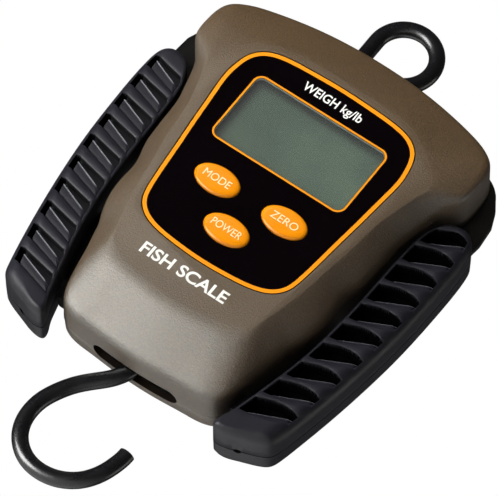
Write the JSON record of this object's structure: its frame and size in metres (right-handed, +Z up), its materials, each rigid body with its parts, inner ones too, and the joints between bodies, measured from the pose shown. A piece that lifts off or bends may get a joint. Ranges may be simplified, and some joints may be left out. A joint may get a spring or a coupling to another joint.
{
  "type": "digital fish scale",
  "caption": "Hand-held hanging digital scale with a display, push buttons, a wire eye above, an open wire hook below and swing-out ribbed grip handles.",
  "frame": {"origin": "point inside the top of the hanging eye that carries the scale, on the parting plane between the shells", "axes": "+Z up towards the hanging eye, the display faces -Y, +X to the reader's right"},
  "size_m": [0.116, 0.0297, 0.1888],
  "materials": {
    "olive": "fine grained, satin",
    "black_gloss": "polished",
    "black_matte": "satin",
    "orange": "smooth satin",
    "clear": "clear polished",
    "lcd": "grey-green",
    "white_plastic": "moulded",
    "steel": "zinc plated",
    "black_steel": "black coating, satin",
    "alu": "machined",
    "brass": "turned",
    "rubber": "matt",
    "zebra": "soft",
    "board": "solder mask",
    "chip": "moulded epoxy",
    "gauge": "foil on film",
    "wire": "insulated",
    "cell": "printed sleeve"
  },
  "bodies": {
    "scale": {"front_shell": "olive", "rear_shell": "olive", "faceplate": "black_gloss", "display_window": "clear", "display_glass": "lcd", "display_holder": "white_plastic", "contact_strips": "zebra", "main_board": "board", "controller_chip": "chip", "board_components": "brass", "board_screws": "steel", "key_switches": "chip", "chassis_bar": "steel", "hanging_eye": "black_steel", "eye_clamp": "steel", "clamp_screws": "steel", "load_cell": "alu", "strain_gauges": "gauge", "cell_screws": "steel", "hook_plates": "steel", "plate_screws": "steel", "hook_pin": "steel", "pin_clip": "steel", "right_pivot_pin": "steel", "left_pivot_pin": "steel", "right_pivot_spacer": "brass", "left_pivot_spacer": "brass", "rest_pads": "rubber", "batteries": "cell", "battery_contacts": "steel", "battery_spring": "steel", "case_screws": "steel", "cell_wires": "wire"},
    "hook": {"hook": "black_steel"},
    "battery_door": {"battery_door": "olive"},
    "left_handle": {"left_arm": "steel", "left_grip_front": "black_matte", "left_grip_rear": "black_matte", "left_grip_screws": "steel"},
    "right_handle": {"right_arm": "steel", "right_grip_front": "black_matte", "right_grip_rear": "black_matte", "right_grip_screws": "steel"},
    "unit_key": {"unit_button": "orange", "unit_plunger": "chip"},
    "tare_key": {"tare_button": "orange", "tare_plunger": "chip"},
    "power_key": {"power_button": "orange", "power_plunger": "chip"}
  },
  "joints": [
    {"name": "left_handle_swing", "type": "hinge", "parent": "scale", "child": "left_handle", "pos_m": [-0.041, 0.0011, -0.0375], "axis": [0, 1, 0], "range_deg": [0, 95]},
    {"name": "right_handle_swing", "type": "hinge", "parent": "scale", "child": "right_handle", "pos_m": [0.041, 0.0011, -0.0375], "axis": [0, -1, 0], "range_deg": [0, 95]},
    {"name": "hook_swing", "type": "hinge", "parent": "scale", "child": "hook", "pos_m": [0, 0, -0.127], "axis": [0, 1, 0], "range_deg": [-30, 20]},
    {"name": "battery_door_lift", "type": "slide", "parent": "scale", "child": "battery_door", "axis": [0, 1, 0], "range_m": [0, 0.02]},
    {"name": "unit_press", "type": "slide", "parent": "scale", "child": "unit_key", "axis": [0, 1, 0], "range_m": [0, 0.0005], "stiffness_N_per_m": 800},
    {"name": "tare_press", "type": "slide", "parent": "scale", "child": "tare_key", "axis": [0, 1, 0], "range_m": [0, 0.0005], "stiffness_N_per_m": 800},
    {"name": "power_press", "type": "slide", "parent": "scale", "child": "power_key", "axis": [0, 1, 0], "range_m": [0, 0.0005], "stiffness_N_per_m": 800}
  ]
}
